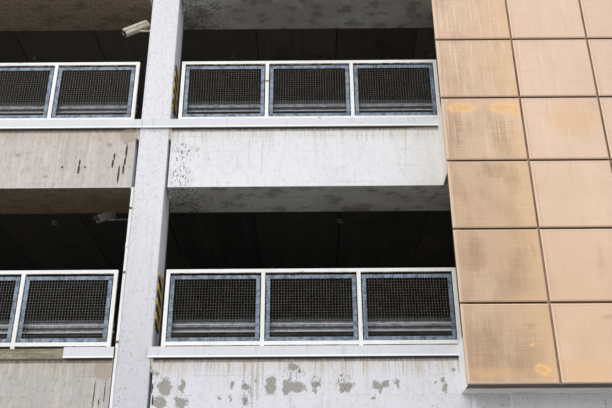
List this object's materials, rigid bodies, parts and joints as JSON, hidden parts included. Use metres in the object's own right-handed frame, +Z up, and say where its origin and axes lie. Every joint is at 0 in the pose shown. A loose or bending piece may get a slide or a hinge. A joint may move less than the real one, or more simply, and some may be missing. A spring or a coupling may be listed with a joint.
{
  "type": "multi storey car park",
  "caption": "Open-sided multi storey car park with precast edge beams, mesh railings behind metal copings, crash barriers, an open roof deck and tan cladding over one end of the front.",
  "frame": {"origin": "middle of the underside of the ground slab, centred on the whole length and depth", "axes": "+X to the right along the front seen from outside, +Y into the building from the front, +Z up"},
  "size_m": [22.998, 16.444, 11.673],
  "materials": {
    "painted_concrete": "white masonry paint, worn and stained",
    "bare_concrete": "weathered concrete",
    "soffit_concrete": "sooty concrete soffit",
    "deck_screed": "power floated screed with tyre marks",
    "mortar": "rough joint mortar",
    "coping_metal": "satin white folded metal",
    "galvanised_steel": "dull galvanised",
    "white_steel": "white paint with rust spots",
    "galvanised_mesh": "galvanised frame and crimped wire",
    "tan_cladding": "satin tan, water stained",
    "striped_guard": "yellow and black diagonal stripes",
    "camera_housing": "beige grey enamel",
    "light_cover": "dusty dark lens"
  },
  "bodies": {
    "root": {"ground_slab": "bare_concrete", "front_columns": "painted_concrete", "rear_columns": "painted_concrete", "end_columns": "painted_concrete", "inner_columns": "bare_concrete", "front_beams": "painted_concrete", "rear_beams": "painted_concrete", "end_beams": "painted_concrete", "inner_beams": "bare_concrete", "floor_planks_1": "soffit_concrete", "floor_planks_2": "soffit_concrete", "floor_planks_3": "soffit_concrete", "deck_1": "deck_screed", "deck_2": "deck_screed", "deck_3": "deck_screed", "joint_mortar": "mortar", "front_kerbs": "painted_concrete", "rear_kerbs": "painted_concrete", "end_kerbs": "painted_concrete", "front_copings": "coping_metal", "rear_copings": "coping_metal", "end_copings": "coping_metal", "barrier_beams": "galvanised_steel", "barrier_posts": "galvanised_steel", "front_railings": "white_steel", "rear_railings": "white_steel", "left_railings": "white_steel", "right_railings": "white_steel", "front_mesh_panels": "galvanised_mesh", "rear_mesh_panels": "galvanised_mesh", "left_mesh_panels": "galvanised_mesh", "right_mesh_panels": "galvanised_mesh", "cladding_panels": "tan_cladding", "cladding_mullions": "tan_cladding", "cladding_brackets": "tan_cladding", "cladding_casing": "white_steel", "column_guards": "striped_guard", "down_pipe": "white_steel", "pipe_clips": "galvanised_steel", "upper_camera": "camera_housing", "lower_camera": "camera_housing", "ceiling_lights": "light_cover"}
  },
  "joints": []
}
